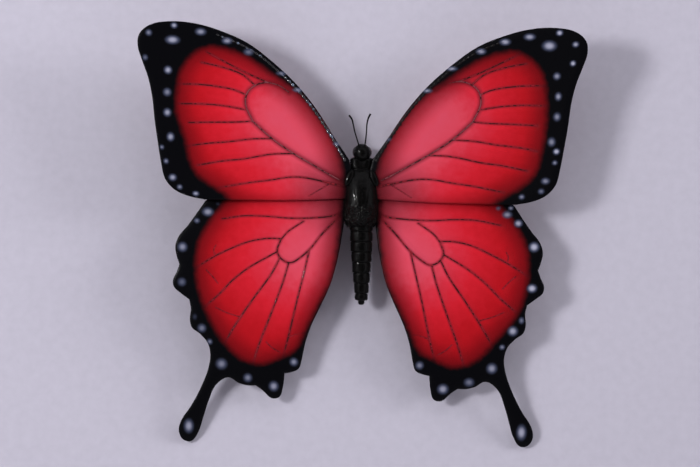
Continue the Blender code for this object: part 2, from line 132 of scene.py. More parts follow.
HINDWING_VEINS = (
    (
        BRANCH,
        ((3.3, -2.4), (6.0, -3.6), (10.0, -4.1), (16.0, -4.3), (21.0, -4.0), (26.0, -4.1), (31.4, -5.1)),
    ),
    # the cell, out along its lower border and back along its upper one
    (
        HIND_CELL,
        (
            (3.5, -2.7), (8.6, -8.0), (11.0, -10.8), (13.9, -13.2), (15.8, -14.2), (17.6, -13.6),
            (18.8, -11.8), (18.1, -9.2),
        ),
    ),
    (BRANCH, ((18.1, -9.2), (16.6, -7.4), (14.4, -5.8), (13.0, -4.9))),
    (BRANCH, ((18.2, -8.9), (21.0, -8.9), (25.2, -9.8), (28.6, -11.3), (32.8, -13.4), (38.5, -16.8))),
    (BRANCH, ((18.8, -11.8), (21.6, -13.4), (25.0, -15.5), (28.6, -18.4), (31.5, -21.3), (35.2, -24.4))),
    # towards the tail
    (BRANCH, ((18.2, -13.2), (20.0, -16.7), (24.0, -22.4), (28.6, -29.5), (31.2, -34.6), (31.8, -37.0))),
    (BRANCH, ((16.2, -14.2), (17.4, -18.5), (19.8, -25.2), (22.8, -33.4), (24.2, -38.4))),
    (BRANCH, ((11.4, -11.2), (12.6, -16.0), (14.2, -22.5), (15.8, -29.8), (17.8, -38.0))),
    (CREASE, ((35.0, -16.4), (33.6, -17.6), (32.0, -19.3))),
    (CREASE, ((27.0, -26.4), (29.8, -25.6), (32.6, -24.4))),
    (CREASE, ((17.7, -34.3), (19.6, -33.2), (21.0, -31.9))),
    (CREASE, ((12.4, -29.8), (14.2, -30.1), (16.0, -30.9))),
    (CREASE, ((32.7, -11.0), (33.2, -12.0), (33.1, -13.0))),
)

# Where the red field fades half-way into the black border. It runs past the wing where wings overlap.
FOREWING_FIELD = (
    (4.0, -3.0), (3.8, 6.0), (6.1, 12.6), (9.9, 18.7), (14.6, 23.7), (20.0, 27.5), (25.0, 30.9),
    (30.0, 32.9), (34.0, 33.4), (37.8, 31.6), (40.2, 28.2), (41.0, 24.0), (41.1, 19.0), (40.4, 12.6),
    (38.8, 6.4), (36.0, 3.6), (32.0, 1.2), (28.0, -1.5), (15.0, -3.0),
)
HINDWING_FIELD = (
    (3.8, 4.0), (27.0, 4.0), (31.6, -1.4), (35.0, -5.4), (37.2, -10.0), (37.8, -15.0), (37.2, -20.0),
    (35.2, -25.4), (32.0, -29.4), (28.2, -33.9), (25.0, -36.2), (21.0, -36.9), (17.6, -35.6),
    (13.9, -33.6), (11.5, -28.8), (8.9, -23.2), (6.3, -17.8), (5.2, -12.0), (4.6, -6.0),
)

# Where the wings are dusky beside the body, and the rosier middle of each wing, from which the red
# deepens outwards
ROOT_LINE = ((1.0, 3.0), (8.0, 1.5))
FOREWING_ROSE = ((8.0, 5.0), (13.0, 12.0), (18.0, 18.0))
HINDWING_ROSE = ((6.0, -5.0), (11.0, -10.0), (13.0, -13.0))

# Pale spots on the border: place, half-width, half-height, strength
SPOTS = {
    "fore_right": (
        (26.3, 33.4, 1.15, 0.7, 0.85), (31.6, 35.6, 1.25, 0.75, 0.9), (37.0, 36.8, 1.3, 0.75, 0.9),
        (41.4, 34.9, 1.6, 1.15, 0.95), (43.6, 37.8, 0.75, 0.65, 1.1), (47.2, 35.3, 0.75, 0.65, 0.95),
        (46.7, 31.1, 0.65, 0.65, 1.1), (43.2, 28.2, 0.85, 0.85, 0.8), (43.6, 23.7, 0.75, 0.95, 0.85),
        (43.4, 19.2, 0.85, 1.0, 0.75), (42.3, 13.6, 0.9, 1.05, 0.75), (43.4, 11.5, 0.75, 0.7, 1.1),
        (43.1, 9.0, 0.6, 0.55, 0.8), (41.1, 4.9, 1.0, 0.75, 0.75), (40.2, 2.6, 0.75, 0.65, 0.65),
        (35.9, 1.3, 0.7, 0.6, 0.75), (19.8, 29.5, 1.4, 0.5, 0.8), (14.5, 24.5, 1.2, 0.5, 0.75),
        (6.1, 13.6, 0.9, 0.5, 0.4),
    ),
    "fore_left": (
        (25.3, 32.4, 1.2, 0.8, 0.6), (30.1, 34.8, 1.2, 0.75, 0.8), (36.0, 36.7, 1.25, 0.8, 0.8),
        (41.9, 38.0, 0.75, 0.65, 0.9), (42.2, 34.8, 1.6, 0.95, 0.9), (47.5, 36.3, 0.75, 0.75, 0.7),
        (48.2, 30.8, 0.65, 0.7, 0.6), (43.1, 28.1, 0.9, 0.9, 0.9), (43.2, 23.2, 0.95, 0.95, 0.7),
        (43.1, 18.7, 0.9, 0.95, 0.85), (42.3, 13.3, 0.85, 1.0, 0.85), (44.2, 11.0, 0.55, 0.55, 0.7),
        (43.2, 7.9, 0.6, 0.6, 0.75), (41.7, 4.3, 0.9, 0.8, 0.85), (40.1, 2.2, 0.65, 0.6, 0.75),
        (36.5, 0.8, 0.75, 0.55, 0.9), (18.0, 27.8, 1.2, 0.5, 0.6), (14.3, 24.2, 1.2, 0.5, 0.7),
        (5.4, 12.4, 1.0, 0.5, 0.6),
    ),
    "hind_right": (
        (32.8, -2.7, 1.15, 0.85, 0.75), (30.8, -1.3, 0.6, 0.55, 0.55), (33.6, -1.2, 0.6, 0.5, 0.85),
        (35.3, -4.6, 0.95, 0.85, 0.9), (38.9, -9.8, 1.15, 1.1, 1), (38.6, -19.0, 1.1, 0.95, 1.05),
        (36.4, -26.2, 0.65, 0.8, 0.65), (34.5, -28.6, 1.15, 1.1, 0.9), (32.2, -32.2, 0.65, 0.6, 0.75),
        (30.0, -37.0, 1.2, 1.2, 0.8), (25.0, -40.2, 1.2, 1.0, 0.65), (19.2, -41.8, 1.25, 1.15, 0.85),
        (13.9, -36.6, 0.95, 0.95, 0.7), (36.9, -51.2, 1.1, 1.75, 0.95),
    ),
    "hind_left": (
        (33.8, -3.2, 1.3, 1.0, 0.8), (31.6, -1.4, 0.5, 0.45, 0.25), (36.2, -5.2, 0.7, 0.6, 0.65),
        (39.3, -11.1, 1.1, 1.1, 0.75), (39.3, -18.9, 1.0, 1.0, 0.55), (36.3, -26.6, 0.6, 0.8, 0.25),
        (34.7, -29.1, 1.0, 1.0, 0.65), (32.9, -32.1, 0.65, 0.65, 0.7), (30.2, -37.0, 1.3, 1.25, 0.7),
        (24.3, -40.0, 1.0, 1.0, 0.7), (18.5, -41.8, 1.1, 1.15, 0.8), (14.1, -36.3, 0.95, 0.95, 0.75),
        (37.3, -51.0, 1.1, 1.6, 0.85),
    ),
}

SPOT_FADE = (0.15, 1.4)  # a spot fades out between these multiples of its half-size

# The wings' middle surfaces: the height at the root, how far it rises or falls over the wing's reach
# outwards and along the body, and how hard it bends
FORE_ROOT_HEIGHT = 7.0
FORE_RISE = (3.6, 3.2)
FORE_REACH = (50, 38)
FORE_BEND = 1.5
HIND_ROOT_HEIGHT = 5.9
HIND_SLOPE = 0.02
HIND_FALL = 5.15
HIND_REACH = 52
HIND_BEND = 2.8

EDGE_RINGS = (0.05, 0.1, 0.2)  # widths of the rings that round the rim, from the outside inwards
RIM_STEP = 4  # steps between two given points of the rim
FIELD_STEP = 3
CELL = 0.35  # the sheet's mesh
HALF_SHEET = 0.22
RIM_HALF = 0.06  # half the thickness left at the very rim
SWELL = 0.16  # how far the skin swells between veins
SWELL_REACH = 1.5  # and within what distance of a vein
FURROW_END = (-2.5, 0.5)  # the furrows along the veins run out this far from the red field's edge
VEIN_STEP = 7  # steps between two given points of a vein
VEIN_BEADING = 0.4  # how unevenly thick the veins are, as a share
BEAD_LENGTH = 0.75
COSTA_BEAD = 1.2  # the leading edge's vein is a row of longer beads
COSTA_BEADING = 0.3
COSTA_STEPS = 6  # and has this many times the steps
MAIN_REACH = (0.2, 0.6)  # what lies this near to a main vein's line is part of it

# How far the left wings' veins and red fields lie from the mirrored right ones: the most, and the places
# on the wing between which it sets in
FORE_VEINS_IN = (0.65, 12, 24)
FORE_VEINS_BACK = (0.95, 6, 24)
HIND_CELL_IN = (0.6, 8, 14)
HIND_MARGIN_IN = (0.5, 28, 38)
HIND_VEINS_FORWARD = (0.5, 20, 36)
HIND_VEINS_AHEAD = (-24, -12)
FORE_FIELD_IN = (1.5, 24, 34)
FORE_FIELD_AHEAD = (12, 18)
HIND_FIELD_IN = (1.5, 26, 34)
HIND_FIELD_AHEAD = (-32, -24)

SKIN_FINISH, VEIN_FINISH, BEAD_FINISH = range(3)  # the order of a wing's materials


def forewing_height(x, y):
    """The fore wing's middle surface, which sweeps up outwards and forwards."""
    outwards = FORE_RISE[0] * (x / FORE_REACH[0]) ** FORE_BEND
    forwards = FORE_RISE[1] * (np.clip(y, 0, None) / FORE_REACH[1]) ** FORE_BEND
    return FORE_ROOT_HEIGHT + outwards + forwards


def hindwing_height(x, y):
    """The hind wing's middle surface, which falls towards its tail ever more steeply."""
    fall = HIND_FALL * (np.clip(-y, 0, None) / HIND_REACH) ** HIND_BEND
    return HIND_ROOT_HEIGHT + HIND_SLOPE * x - fall


def distance(points, line, closed=False):
    """How far each point is from a line of straight runs."""
    ends = [*line[1:], line[0]] if closed else line[1:]
    best = np.full(len(points), np.inf)
    for a, b in zip(line, ends):
        start = np.array(a[:2])
        way = np.array(b[:2]) - start
        along = np.clip((points - start) @ way / (way @ way), 0, 1)
        best = np.minimum(best, np.linalg.norm(points - start - along[:, None] * way, axis=1))
    return best


def inside(points, loop):
    """Which points lie inside a closed line: those from which a ray crosses it an odd number of times."""
    crossed = np.zeros(len(points), bool)
    for a, b in zip(loop, [*loop[1:], loop[0]]):
        spans = (points[:, 1] < a[1]) != (points[:, 1] < b[1])
        rise = b[1] - a[1] if b[1] != a[1] else 1.0
        crossed ^= spans & (points[:, 0] < a[0] + (points[:, 1] - a[1]) * (b[0] - a[0]) / rise)
    return crossed


def soft(value, low, high):
    """0 below low, 1 above high, and smooth between."""
    share = np.clip((value - low) / (high - low), 0, 1)
    return share * share * (3 - 2 * share)


def wing_sheet(rim):
    """One flat face inside the rim, ringed along its edge and then cut into small cells."""
    bm = bmesh.new()
    face = bm.faces.new([bm.verts.new((p.x, p.y, 0)) for p in rim])
    for width in EDGE_RINGS:
        bmesh.ops.inset_region(bm, faces=[face], thickness=width, use_even_offset=True)
    for axis in (0, 1):
        places = [v.co[axis] for v in bm.verts]
        facing = Vector((1 - axis, axis, 0))
        for place in np.arange(min(places) + CELL / 2, max(places), CELL):
            geometry = [*bm.verts, *bm.edges, *bm.faces]
            bmesh.ops.bisect_plane(bm, geom=geometry, dist=1e-4, plane_co=facing * place, plane_no=facing)
    return bm


def add_cord(bm, points, radii, finish=SKIN_FINISH, sides=8):
    """Adds a closed round cord through the points, with a radius for each."""
    curve = bpy.data.curves.new("cord", "CURVE")
    curve.dimensions = "3D"
    curve.bevel_depth = 1.0
    curve.bevel_resolution = (sides - 4) // 2
    curve.use_fill_caps = True
    spline = curve.splines.new("POLY")
    spline.points.add(len(points) - 1)
    for target, point, radius in zip(spline.points, points, radii):
        target.co = (*point, 1.0)
        target.radius = radius
    guide = bpy.data.objects.new("cord", curve)
    count = len(bm.faces)
    bm.from_mesh(guide.to_mesh())
    bm.faces.ensure_lookup_table()
    for face in bm.faces[count:]:
        face.material_index = finish
    bpy.data.objects.remove(guide)
    bpy.data.curves.remove(curve)


def add_vein(bm, line, start, end, height_at, lift, beaded, finish):
    """A fine tapering cord half sunk in the skin, slightly uneven as a drawn or cast one is."""
    points = [Vector((p.x, p.y, height_at(p.x, p.y) + lift)) for p in line]
    radii = np.linspace(start, end, len(line))
    radii *= [1 + VEIN_BEADING * noise.noise((p.x / BEAD_LENGTH, p.y / BEAD_LENGTH, lift)) for p in points]
    if beaded:
        along = np.cumsum([0, *[(b - a).length for a, b in zip(points, points[1:])]])
        radii *= 1 + COSTA_BEADING * np.sin(math.tau * along / COSTA_BEAD)
    add_cord(bm, points, radii, finish)


def store(bm, name, values):
    """Keeps a number for each vertex, which the materials read."""
    layer = bm.verts.layers.float.new(name)
    for vert, value in zip(bm.verts, values):
        vert[layer] = value


def spot_mask(points, spots):
    """How much of the pale spots' colour lies at each point."""
    mask = np.zeros(len(points))
    for x, y, wide, high, strength in spots:
        reach = np.hypot((points[:, 0] - x) / wide, (points[:, 1] - y) / high)
        mask = np.maximum(mask, strength * (1 - soft(reach, *SPOT_FADE)))
    return mask


def add_piece(name, bm, materials, node):
    """Puts a piece drawn in millimetres in its place and hides the solid that it stands for."""
    bmesh.ops.scale(bm, verts=bm.verts, vec=(MM, MM, MM))
    bmesh.ops.translate(bm, verts=bm.verts, vec=(0, MEETING_LINE, 0))
    mesh = bpy.data.meshes.new(name)
    bm.to_mesh(mesh)
    bm.free()
    for finish in materials:
        mesh.materials.append(finish)
    mesh.shade_smooth()
    piece = bpy.data.objects.new(name, mesh)
    bpy.context.scene.collection.objects.link(piece)
    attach(piece, "root")
    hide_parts(node)


def shift(place, most, low, high):
    """A shift that sets in smoothly between two places."""
    return most * soft(place, low, high)


def left_vein(kind, x, y):
    """Where a vein's point lies on the left wings, whose veins branch a little nearer to the body."""
    if kind == "fore":
        return x - shift(x, *FORE_VEINS_IN), y - shift(y, *FORE_VEINS_BACK)
    forwards = shift(x, *HIND_VEINS_FORWARD) * soft(y, *HIND_VEINS_AHEAD)
    return x - shift(x, *HIND_CELL_IN) - shift(x, *HIND_MARGIN_IN), y + forwards


def left_field(kind, x, y):
    """Where a point of the red field's edge lies on the left wings, whose black border is broader."""
    if kind == "fore":
        return x - shift(x, *FORE_FIELD_IN) * (1 - soft(y, *FORE_FIELD_AHEAD)), y
    return x - shift(x, *HIND_FIELD_IN) * soft(y, *HIND_FIELD_AHEAD), y


def wing(word, side, flat, rim, veins, field, rose, height_at, materials):
    """One wing from its flat sheet: skin, rounded edge, veins on both faces, and where its colours lie."""
    kind, side_word = word.split("_")
    bm = flat.copy()
    bmesh.ops.extrude_face_region(bm, geom=bm.faces[:])
    bm.verts.ensure_lookup_table()
    places = np.array([v.co[:2] for v in bm.verts])
    upper = np.arange(len(places)) >= len(flat.verts)
    if side < 0:
        veins = [
            (sizes, line if sizes == COSTA else [left_vein(kind, *p) for p in line])
            for sizes, line in veins
        ]
        field = [left_field(kind, *p) for p in field]
    vein_lines = [(sizes, smooth_arc(line, VEIN_STEP)) for sizes, line in veins]
    to_vein = np.min([distance(places, line) for _, line in vein_lines], axis=0)
    to_rim = distance(places, rim, closed=True)
    round_off = np.sqrt(1 - (1 - np.clip(to_rim / sum(EDGE_RINGS), 0, 1)) ** 2)
    field = smooth_arc([*field, field[0]], FIELD_STEP)[:-1]
    sign = np.where(inside(places, field), 1, -1)
    to_vein += SWELL_REACH * soft(-sign * distance(places, field, closed=True), *FURROW_END)
    swell = SWELL * (soft(to_vein, 0, SWELL_REACH) - 0.5) * soft(to_rim, 0, SWELL_REACH)
    half = RIM_HALF + (HALF_SHEET - RIM_HALF) * round_off + swell
    levels = height_at(places[:, 0], places[:, 1])
    for vert, level, thick, above in zip(bm.verts, levels, half, upper):
        vert.co.z = level + (thick if above else -thick)
    sunk = HALF_SHEET - SWELL / 2
    for sizes, line in veins:
        beaded = sizes == COSTA
        line = smooth_arc(line, VEIN_STEP * (COSTA_STEPS if beaded else 1))
        # the left leading edge is polished, the right one painted like the veins
        finish = BEAD_FINISH if beaded and side < 0 else VEIN_FINISH
        add_vein(bm, line, *sizes[:2], height_at, sunk, beaded, finish)
        add_vein(bm, line, *sizes[:2], height_at, -sunk, beaded, finish)

    places = np.array([v.co[:2] for v in bm.verts])
    sign = np.where(inside(places, field), 1, -1)
    store(bm, "field", sign * distance(places, field, closed=True))
    store(bm, "rose", distance(places, rose))
    store(bm, "root", distance(places, ROOT_LINE))
    # the greyed band beside each vein: partly tint, partly painted shade and sheen along it
    band = [distance(places, line) / sizes[2] for sizes, line in vein_lines]
    store(bm, "vein", np.min(band, axis=0))
    mains = [distance(places, line) for sizes, line in vein_lines if sizes == MAIN]
    store(bm, "main", 1 - soft(np.min(mains, axis=0), *MAIN_REACH) if mains else np.zeros(len(places)))
    store(bm, "spot", spot_mask(places, SPOTS[word]))
    bmesh.ops.scale(bm, verts=bm.verts, vec=(side, 1, 1))
    bmesh.ops.recalc_face_normals(bm, faces=bm.faces)
    add_piece(f"{word}_wing", bm, materials, f"{kind}wing_{side_word}")


def from_hex(code):
    """An sRGB hex colour as the linear colour that the shader takes."""
    parts = [int(code[i : i + 2], 16) / 255 for i in (0, 2, 4)]
    return (*[p / 12.92 if p <= 0.04045 else ((p + 0.055) / 1.055) ** 2.4 for p in parts], 1.0)


def new_material(name, **sockets):
    """A material with these values on its shader's own sockets."""
    made = bpy.data.materials.new(name)
    made.use_nodes = True
    shader = made.node_tree.nodes["Principled BSDF"]
    for socket, value in sockets.items():
        shader.inputs[socket.replace("_", " ")].default_value = value
    return made, made.node_tree, shader


def add_node(tree, kind, links=None, **settings):
    """Adds a node: settings name its options or, by number or name, its inputs, and a text given to an
    input is a hex colour. Links feed its inputs."""
    made = tree.nodes.new(f"ShaderNode{kind}")
    for key, value in settings.items():
        if hasattr(made, key):
            setattr(made, key, value)
        else:
            socket = made.inputs[int(key[1:]) if key[1:].isdigit() else key]
            socket.default_value = from_hex(value) if isinstance(value, str) else value
    for key, socket in (links or {}).items():
        tree.links.new(socket, made.inputs[key])
    return made


SMOOTH = {"interpolation_type": "SMOOTHSTEP"}

# Lacquer sprayed by hand: the red's own grain is too fine to see, its clouds are one or two millimetres
# across, and its satin surface breaks up highlights with a fine orange peel of about 0.2 mm.
ROSE_STEPS = (
    (0.0, "CB475B"), (0.14, "CC4153"), (0.27, "C72C3D"), (0.42, "C21D2B"), (0.62, "AC131D"), (0.85, "9C0E17"),
)
ROSE_REACH = 30.0  # the steps above end at this distance from the rosy middle
ROSE_DRIFT = 5.0  # and the clouds move them within a band this broad
# a greyed red beside each vein: partly tint, partly painted shade and sheen along its furrow
VEIN_TINT_AND_SHADE = "741F2B"
DEEP_RED = "5E0A10"
DEEP_REACH = 5.5  # how far into the field the deep red beside the border reaches
DUSK = "200A0F"
DUSK_REACH = 11.0
BORDER_BLACK = "060609"
BORDER_FADE = (-0.9, 1.2)  # the border's black fades between these distances from the field's edge
SPRAY_WANDER = 0.8
SPOT_HAZE = "41465C"
SPOT_PALE = "B6B6CC"
CLOUD_SIZE = 1.6
PEEL_SIZE = 0.22
PEEL_DEPTH = 0.05


def spotted(tree, colour):
    """The pale spots laid over a colour: a grey-blue haze first, then the pale middle."""
    spot = add_node(tree, "Attribute", attribute_name="spot").outputs["Fac"]
    haze = add_node(tree, "MapRange", {"Value": spot}, **SMOOTH, i1=0.0, i2=0.5, i3=0.0, i4=0.8)
    pale = add_node(tree, "MapRange", {"Value": spot}, **SMOOTH, i1=0.35, i2=1.3, i3=0.0, i4=1.0)
    for share, code in ((haze, SPOT_HAZE), (pale, SPOT_PALE)):
        laid = {0: share.outputs[0], 6: colour}
        colour = add_node(tree, "Mix", laid, data_type="RGBA", i7=code).outputs[2]
    return colour


def wing_lacquer():
    """Satin lacquer in sprayed layers: soft edges between its colours, and hardly a highlight."""
    finish = {"Specular_IOR_Level": 0.05, "Coat_Weight": 0.03, "Coat_Roughness": 0.22}
    made, tree, shader = new_material("sprayed red and black lacquer", **finish)
    place = add_node(tree, "TexCoord").outputs["Object"]
    field, rose, vein, root = [
        add_node(tree, "Attribute", attribute_name=name).outputs["Fac"]
        for name in ("field", "rose", "vein", "root")
    ]

    clouds = add_node(tree, "TexNoise", {"Vector": place}, Scale=1 / (CLOUD_SIZE * MM), Detail=3.0)
    cloud = {0: clouds.outputs["Fac"]}
    drift = add_node(tree, "Math", cloud, operation="MULTIPLY_ADD", i1=ROSE_DRIFT, i2=-ROSE_DRIFT / 2)
    outwards = add_node(tree, "Math", {0: rose, 1: drift.outputs[0]}, operation="ADD")
    share = add_node(tree, "Math", {0: outwards.outputs[0]}, operation="DIVIDE", i1=ROSE_REACH)
    ramp = add_node(tree, "ValToRGB", {"Fac": share.outputs[0]})
    steps = ramp.color_ramp.elements
    while len(steps) < len(ROSE_STEPS):
        steps.new(0.5)
    for step, (at, code) in zip(steps, ROSE_STEPS):
        step.position = at
        step.color = from_hex(code)

    # over it lie a greyed red beside each vein, partly tint and partly painted shade and sheen along it, the
    # deep red that leads into the border, the dusky roots and the border itself, with the spray's uneven edge
    wander = add_node(tree, "Math", cloud, operation="MULTIPLY_ADD", i1=SPRAY_WANDER, i2=-SPRAY_WANDER / 2)
    edge = add_node(tree, "Math", {0: field, 1: wander.outputs[0]}, operation="ADD").outputs[0]
    colour = ramp.outputs["Color"]
    for value, low, high, most, code in (
        (vein, 0.0, 1.0, 0.85, VEIN_TINT_AND_SHADE),
        (field, 0.0, DEEP_REACH, 0.8, DEEP_RED),
        (root, 0.0, DUSK_REACH, 0.58, DUSK),
        (edge, *BORDER_FADE, 1.0, BORDER_BLACK),
    ):
        share = add_node(tree, "MapRange", {"Value": value}, **SMOOTH, i1=low, i2=high, i3=most, i4=0.0)
        laid = {0: share.outputs[0], 6: colour}
        colour = add_node(tree, "Mix", laid, data_type="RGBA", i7=code).outputs[2]
    tree.links.new(spotted(tree, colour), shader.inputs["Base Color"])

    peel = add_node(tree, "TexNoise", {"Vector": place}, Scale=1 / (PEEL_SIZE * MM), Detail=2.0)
    relief = add_node(tree, "Math", {0: peel.outputs["Fac"], 1: clouds.outputs["Fac"]}, operation="ADD")
    rough = add_node(tree, "MapRange", {"Value": root}, i1=3.0, i2=9.0, i3=0.9, i4=0.25)
    waves = {"Height": relief.outputs[0], "Strength": rough.outputs[0]}
    bump = add_node(tree, "Bump", waves, Distance=PEEL_DEPTH * MM)
    tree.links.new(bump.outputs["Normal"], shader.inputs["Normal"])
    tree.links.new(bump.outputs["Normal"], shader.inputs["Coat Normal"])
    sheen = add_node(tree, "MapRange", {"Value": peel.outputs["Fac"]}, i1=0.3, i2=0.7, i3=0.36, i4=0.48)
    tree.links.new(sheen.outputs[0], shader.inputs["Roughness"])
    return made


# Black paint drawn along the veins by hand, glossier than the lacquer that it lies on and rubbed through
# in places half a millimetre across. The main veins are rubbed a little more, down to a greyer red that
# also paints the grey sheen along them.
VEIN_BLACK = "080405"
WORN_RED = "8E1A26"
# the greyer red of the main veins' rubbed places, which also paints their grey sheen
WORN_MAIN_SHEEN_RED = "7D3C44"
VEIN_WEAR = 0.6
VEIN_BEAD = 0.5
VEIN_RELIEF = 0.12
MAIN_WEAR_AND_SHEEN = 0.06


def vein_lacquer():
    """Glossy black paint, rubbed through in places: broken dark lines with fine glints."""
    finish = {"Roughness": 0.4, "Specular_IOR_Level": 0.12, "Coat_Weight": 0.3, "Coat_Roughness": 0.06}
    made, tree, shader = new_material("black vein lacquer", **finish)
    place = add_node(tree, "TexCoord").outputs["Object"]
    grain = add_node(tree, "TexNoise", {"Vector": place}, Scale=1 / (VEIN_WEAR * MM), Detail=2.0)
    main = add_node(tree, "Attribute", attribute_name="main").outputs["Fac"]
    rub = {0: main, 2: grain.outputs["Fac"]}
    rubbed = add_node(tree, "Math", rub, operation="MULTIPLY_ADD", i1=MAIN_WEAR_AND_SHEEN)
    wear_and_sheen = add_node(tree, "MapRange", {"Value": rubbed.outputs[0]}, i1=0.46, i2=0.55, i3=0.0, i4=0.9)
    # the veins stay black where they cross the border
    field = add_node(tree, "Attribute", attribute_name="field").outputs["Fac"]
    red = add_node(tree, "MapRange", {"Value": field}, i1=0.0, i2=2.0, i3=0.0, i4=1.0)
    shows = add_node(tree, "Math", {0: wear_and_sheen.outputs[0], 1: red.outputs[0]}, operation="MULTIPLY")
    # on the main veins the rubbed places show a greyer red, which also paints the grey sheen along them
    base = add_node(tree, "Mix", {0: main}, data_type="RGBA", i6=WORN_RED, i7=WORN_MAIN_SHEEN_RED)
    laid = {0: shows.outputs[0], 7: base.outputs[2]}
    paint = add_node(tree, "Mix", laid, data_type="RGBA", i6=VEIN_BLACK)
    tree.links.new(spotted(tree, paint.outputs[2]), shader.inputs["Base Color"])
    beads = add_node(tree, "TexNoise", {"Vector": place}, Scale=1 / (VEIN_BEAD * MM), Detail=1.0)
    bump = add_node(tree, "Bump", {"Height": beads.outputs["Fac"]}, Strength=0.8, Distance=VEIN_RELIEF * MM)
    tree.links.new(bump.outputs["Normal"], shader.inputs["Normal"])
    tree.links.new(bump.outputs["Normal"], shader.inputs["Coat Normal"])
    return made


# Enamel on the left leading edge's beads, polished and worn pale in spots of one or two millimetres.
# The pale spots also paint the edge's pale bluish highlights.
ENAMEL_BLACK = "07070A"
# pale patches: worn enamel that also paints pale highlights along the edge
ENAMEL_WEAR_AND_HIGHLIGHT = "6A7890"
ENAMEL_PALE_PATCH = 1.5


def bead_enamel():
    """Polished black enamel: a small bright glint on each bead, and dull pale spots, partly wear and partly
    painted highlight.
    """
    finish = {"Roughness": 0.25, "Coat_Weight": 1.0, "Coat_Roughness": 0.1}
    made, tree, shader = new_material("polished black enamel", **finish)
    place = add_node(tree, "TexCoord").outputs["Object"]
    grain = add_node(tree, "TexNoise", {"Vector": place}, Scale=1 / (ENAMEL_PALE_PATCH * MM), Detail=2.0)
    # where the pale patches lie: wear, and painted highlight along the edge
    wear_and_sheen = add_node(tree, "MapRange", {"Value": grain.outputs["Fac"]}, i1=0.56, i2=0.66, i3=0.0, i4=1.0)
    colour = add_node(tree, "Mix", {0: wear_and_sheen.outputs[0]}, data_type="RGBA", i6=ENAMEL_BLACK, i7=ENAMEL_WEAR_AND_HIGHLIGHT)
    tree.links.new(spotted(tree, colour.outputs[2]), shader.inputs["Base Color"])
    return made


wing_materials = (wing_lacquer(), vein_lacquer(), bead_enamel())
for kind, arcs, veins, field, rose, height_at in (
    ("fore", FOREWING_RIM, FOREWING_VEINS, FOREWING_FIELD, FOREWING_ROSE, forewing_height),
    ("hind", HINDWING_RIM, HINDWING_VEINS, HINDWING_FIELD, HINDWING_ROSE, hindwing_height),
):
    rim = [p for arc in arcs for p in smooth_arc(arc, RIM_STEP)[:-1]]
    flat = wing_sheet(rim)
    for side, word in ((1, "right"), (-1, "left")):
        wing(f"{kind}_{word}", side, flat, rim, veins, field, rose, height_at, wing_materials)
    flat.free()


# Thorax. A hard glossy black case in one piece with its narrower collar: smooth in front, with shallow
# seams between its plates, a raised plate and lumps behind, and a flap over the root of each fore wing.
BODY_MIDDLE = (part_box("thorax")[0].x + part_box("thorax")[1].x) / 2 / MM
BODY_HEIGHT = 5.6
THORAX_PROFILE = (
    (9.5, 0.0), (9.45, 1.8), (9.1, 2.4), (8.2, 2.66), (7.2, 2.6), (6.8, 2.35), (6.3, 2.8), (5.0, 3.35),
    (3.0, 3.75), (0.3, 3.93), (-3.0, 3.88), (-4.9, 3.58), (-5.9, 2.88), (-6.35, 1.78), (-6.5, 0.0),
)
UNDERSIDE_HEIGHT = 1.85
DOME_FALL = 0.24  # how much lower the top is fore and aft than at its highest, as a share
DOME_TOP = -0.6
DOME_REACH = 6
PLATE_PLACE = (-4.7, 2.1, 1.3)  # the raised plate's middle along the body, its half-width and half-length
PLATE_RISE = 0.3
PLATE_SMOOTH = 0.3  # how much less lumpy it is
SEAM_DEPTH = 0.07
SEAM_WIDTH = 0.28
SEAM_REAR = (-3.2, -2.4)  # where the seams along the body run out at the rear
MIDDLE_SEAM_FRONT = 5.8
SIDE_SEAM_FRONT = 6.2
SIDE_SEAM_OUT = (0.9, 0.17, -1.5)  # how far out it lies, how fast it spreads forwards, and from where
CROSS_SEAM = (-3.1, 0.1, 0.35, 1.6)  # place, bow, width and how many times deeper it is
ROUGH_REAR = (0.6, 2.4)  # the shell turns lumpy over this stretch behind the wings' meeting line
ROUGH_SIDES = (0.35, 0.8)  # and as it turns down at the sides
LUMP_SIZE = 1.1
LUMP_RISE = 0.26
LUMPS_IN_FRONT = 0.2
PIMPLE_SIZE = 0.6
PIMPLE_RADIUS = 0.45  # as a share of the size
PIMPLE_RISE = 0.8
FLAP_RADII = (0.75, 1.9, 0.5)
FLAP_PLACE = (2.75, 4.9, 7.75)  # from the body's middle
FLAP_TURN = math.radians(22)
HAIR_RADIUS = 0.028
HAIR_TIP = 0.004
HAIR_OUT = 0.75  # a hair's way: out of the shell, back, and astray across and up
HAIR_BACK = 0.8
HAIR_ASTRAY = (0.3, 0.25)
HAIR_LENGTHS = (0.6, 1.1)
HAIR_SCATTER = 0.1
HAIR_MIDDLE = 0.4  # its middle is this share of its length above the shell, so its root is sunk
HAIR_SEED = 5
THORAX_HAIRS = (1000, 0.75)  # how many, and how long
SEAT_LEVEL = 2.4  # hairs grow above the case's cut underside
SHELL_BLACK = "040404"
SHELL_BROWN = "0B0909"
SHELL_DULLER = 0.15  # how much rougher the browner patches are
SHELL_RELIEF = 0.6
draw = random.Random(HAIR_SEED)


def spindle(profile, steps, between):
    """A closed body turned about the fore-and-aft axis, smooth through (distance along, radius) pairs."""
    bm = bmesh.new()
    line = smooth_arc([(radius, along) for along, radius in profile], between)
    verts = [bm.verts.new((max(p.x, 0), p.y, 0)) for p in line]
    verts[0].co.x = 0
    verts[-1].co.x = 0
    edges = [bm.edges.new(pair) for pair in zip(verts, verts[1:])]
    turn = {"axis": (0, 1, 0), "cent": (0, 0, 0), "angle": math.tau, "steps": steps, "use_merge": True}
    bmesh.ops.spin(bm, geom=verts + edges, **turn)
    bmesh.ops.remove_doubles(bm, verts=bm.verts, dist=1e-4)
    bmesh.ops.recalc_face_normals(bm, faces=bm.faces)
    return bm


